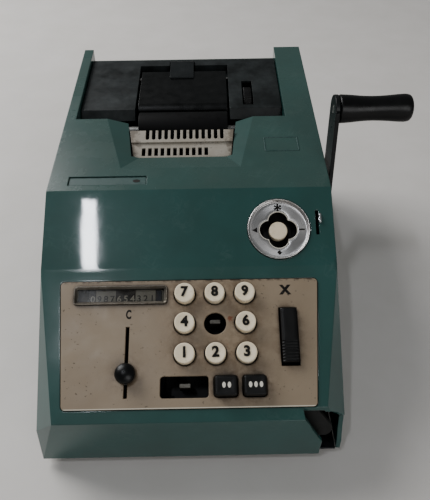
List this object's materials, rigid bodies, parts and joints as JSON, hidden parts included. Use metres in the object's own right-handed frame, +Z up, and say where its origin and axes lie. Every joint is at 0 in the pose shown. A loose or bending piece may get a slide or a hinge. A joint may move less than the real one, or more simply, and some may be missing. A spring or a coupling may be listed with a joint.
{
  "type": "desk calculator",
  "caption": "Hand-cranked desk calculator with a sloping key board, a four-way selector dial, a hinged rear cover over a printing platen and a side crank.",
  "frame": {"origin": "on the desk top that the feet stand on, at the middle of the box that the whole machine with its crank fills", "axes": "+X to the operator's right, where the crank is, +Y from the key board to the rear, +Z up"},
  "size_m": [0.2536, 0.3256, 0.1807],
  "materials": {
    "shell_plastic": "glossy moulded",
    "cream_plastic": "moulded",
    "panel_paint": "satin paint",
    "aluminium": "satin",
    "lens": "clear",
    "grey_plastic": "moulded",
    "rubber": "matt",
    "dark_metal": "blackened",
    "steel": "drawn",
    "black_metal": "enamel",
    "black_plastic": "moulded"
  },
  "bodies": {
    "machine": {"base_plate": "dark_metal", "carriage_rail": "steel", "corner_bracket": "black_plastic", "counter_bezel": "aluminium", "counter_lens": "lens", "counter_strip": "grey_plastic", "cover_hinge_rod": "steel", "crank_bushing": "black_plastic", "crank_spring": "steel", "dial_plate": "aluminium", "dial_well": "black_plastic", "foot_front_left": "rubber", "foot_front_right": "rubber", "foot_rear_left": "rubber", "foot_rear_right": "rubber", "housing_shell": "shell_plastic", "key_guide_plate": "dark_metal", "keyboard_panel": "panel_paint", "name_plate": "shell_plastic", "register_shaft": "steel", "side_frame_left": "dark_metal", "side_frame_right": "dark_metal", "thumbwheel_axle": "steel", "tie_rod": "steel", "type_bank": "dark_metal", "type_comb": "cream_plastic", "type_guide": "cream_plastic"},
    "key_1": {"key_1": "cream_plastic"},
    "key_2": {"key_2": "cream_plastic"},
    "key_3": {"key_3": "cream_plastic"},
    "key_4": {"key_4": "cream_plastic"},
    "key_6": {"key_6": "cream_plastic"},
    "key_7": {"key_7": "cream_plastic"},
    "key_8": {"key_8": "cream_plastic"},
    "key_9": {"key_9": "cream_plastic"},
    "key_double_zero": {"key_double_zero": "black_plastic"},
    "key_triple_zero": {"key_triple_zero": "black_plastic"},
    "stem_0": {"stem_0": "steel"},
    "stem_5": {"stem_5": "steel"},
    "multiply_key": {"multiply_key": "black_plastic"},
    "clear_lever": {"clear_knob": "black_plastic", "clear_slider": "steel"},
    "mode_lever": {"mode_lever": "aluminium"},
    "selector_cross": {"selector_cross_slide": "black_plastic"},
    "selector_button": {"selector_button": "cream_plastic"},
    "cover": {"roll_cover": "black_plastic", "flap_hinge_pin": "steel"},
    "flap": {"paper_flap": "black_plastic", "flap_tab": "grey_plastic"},
    "platen": {"platen_roller": "rubber", "platen_shaft": "steel"},
    "thumbwheel": {"feed_thumbwheel": "black_plastic"},
    "spindle": {"paper_spindle": "black_plastic"},
    "register": {"register_wheels": "steel"},
    "carriage": {"pin_carriage": "dark_metal"},
    "crank": {"crank_shaft": "steel", "crank_arm": "black_metal", "crank_sector": "dark_metal", "grip_stud": "steel"},
    "grip": {"crank_grip": "black_plastic"}
  },
  "joints": [
    {"name": "key_1_press", "type": "slide", "parent": "machine", "child": "key_1", "axis": [0, 0.4571, -0.8894], "range_m": [0, 0.004], "stiffness_N_per_m": 250, "springref_m": -0.002},
    {"name": "key_2_press", "type": "slide", "parent": "machine", "child": "key_2", "axis": [0, 0.4571, -0.8894], "range_m": [0, 0.004], "stiffness_N_per_m": 250, "springref_m": -0.002},
    {"name": "key_3_press", "type": "slide", "parent": "machine", "child": "key_3", "axis": [0, 0.4571, -0.8894], "range_m": [0, 0.004], "stiffness_N_per_m": 250, "springref_m": -0.002},
    {"name": "key_4_press", "type": "slide", "parent": "machine", "child": "key_4", "axis": [0, 0.4571, -0.8894], "range_m": [0, 0.004], "stiffness_N_per_m": 250, "springref_m": -0.002},
    {"name": "key_6_press", "type": "slide", "parent": "machine", "child": "key_6", "axis": [0, 0.4571, -0.8894], "range_m": [0, 0.004], "stiffness_N_per_m": 250, "springref_m": -0.002},
    {"name": "key_7_press", "type": "slide", "parent": "machine", "child": "key_7", "axis": [0, 0.4571, -0.8894], "range_m": [0, 0.004], "stiffness_N_per_m": 250, "springref_m": -0.002},
    {"name": "key_8_press", "type": "slide", "parent": "machine", "child": "key_8", "axis": [0, 0.4571, -0.8894], "range_m": [0, 0.004], "stiffness_N_per_m": 250, "springref_m": -0.002},
    {"name": "key_9_press", "type": "slide", "parent": "machine", "child": "key_9", "axis": [0, 0.4571, -0.8894], "range_m": [0, 0.004], "stiffness_N_per_m": 250, "springref_m": -0.002},
    {"name": "key_double_zero_press", "type": "slide", "parent": "machine", "child": "key_double_zero", "axis": [0, 0.4571, -0.8894], "range_m": [0, 0.004], "stiffness_N_per_m": 250, "springref_m": -0.002},
    {"name": "key_triple_zero_press", "type": "slide", "parent": "machine", "child": "key_triple_zero", "axis": [0, 0.4571, -0.8894], "range_m": [0, 0.004], "stiffness_N_per_m": 250, "springref_m": -0.002},
    {"name": "stem_0_press", "type": "slide", "parent": "machine", "child": "stem_0", "axis": [0, 0.4571, -0.8894], "range_m": [0, 0.004], "stiffness_N_per_m": 250, "springref_m": -0.002},
    {"name": "stem_5_press", "type": "slide", "parent": "machine", "child": "stem_5", "axis": [0, 0.4571, -0.8894], "range_m": [0, 0.004], "stiffness_N_per_m": 250, "springref_m": -0.002},
    {"name": "multiply_key_tilt", "type": "hinge", "parent": "machine", "child": "multiply_key", "pos_m": [-0.02785, -0.10143, 0.0831], "axis": [1, 0, 0], "range_deg": [0, 6], "stiffness_Nm_per_rad": 0.02, "springref_deg": -5.73},
    {"name": "clear_lever_slide", "type": "slide", "parent": "machine", "child": "clear_lever", "axis": [0, -0.8894, -0.4571], "range_m": [-0.027, 0.0115]},
    {"name": "mode_lever_slide", "type": "slide", "parent": "machine", "child": "mode_lever", "axis": [0, 0.8387, 0.5446], "range_m": [-0.0075, 0.002]},
    {"name": "selector_sideways", "type": "slide", "parent": "machine", "child": "selector_cross", "axis": [1, 0, 0], "range_m": [-0.0056, 0.0056], "stiffness_N_per_m": 100},
    {"name": "selector_lengthways", "type": "slide", "parent": "selector_cross", "child": "selector_button", "axis": [0, 0.8387, 0.5446], "range_m": [-0.0056, 0.0056], "stiffness_N_per_m": 100},
    {"name": "cover_hinge", "type": "hinge", "parent": "machine", "child": "cover", "pos_m": [-0.02785, 0.15081, 0.14345], "axis": [-1, 0, 0], "range_deg": [0, 75]},
    {"name": "flap_hinge", "type": "hinge", "parent": "cover", "child": "flap", "pos_m": [-0.02785, 0.12506, 0.13986], "axis": [-1, 0, 0], "range_deg": [0, 15]},
    {"name": "platen_spin", "type": "hinge", "parent": "machine", "child": "platen", "pos_m": [-0.02785, 0.06346, 0.1244], "axis": [1, 0, 0], "continuous": true},
    {"name": "thumbwheel_spin", "type": "hinge", "parent": "machine", "child": "thumbwheel", "pos_m": [-0.02785, 0.0996, 0.12119], "axis": [1, 0, 0], "continuous": true},
    {"name": "spindle_spin", "type": "hinge", "parent": "machine", "child": "spindle", "pos_m": [-0.02785, 0.12691, 0.09929], "axis": [1, 0, 0], "continuous": true},
    {"name": "register_spin", "type": "hinge", "parent": "machine", "child": "register", "pos_m": [-0.02785, 0.01999, 0.068], "axis": [1, 0, 0], "continuous": true},
    {"name": "carriage_slide", "type": "slide", "parent": "machine", "child": "carriage", "axis": [-1, 0, 0], "range_m": [0, 0.0437]},
    {"name": "crank_pull", "type": "hinge", "parent": "machine", "child": "crank", "pos_m": [0.07215, -0.01201, 0.059], "axis": [1, 0, 0], "range_deg": [0, 70], "stiffness_Nm_per_rad": 0.15, "springref_deg": -17.19, "deforming": ["crank_spring"]},
    {"name": "grip_spin", "type": "hinge", "parent": "crank", "child": "grip", "pos_m": [0.10215, 0.00549, 0.171], "axis": [1, 0, 0], "continuous": true}
  ]
}
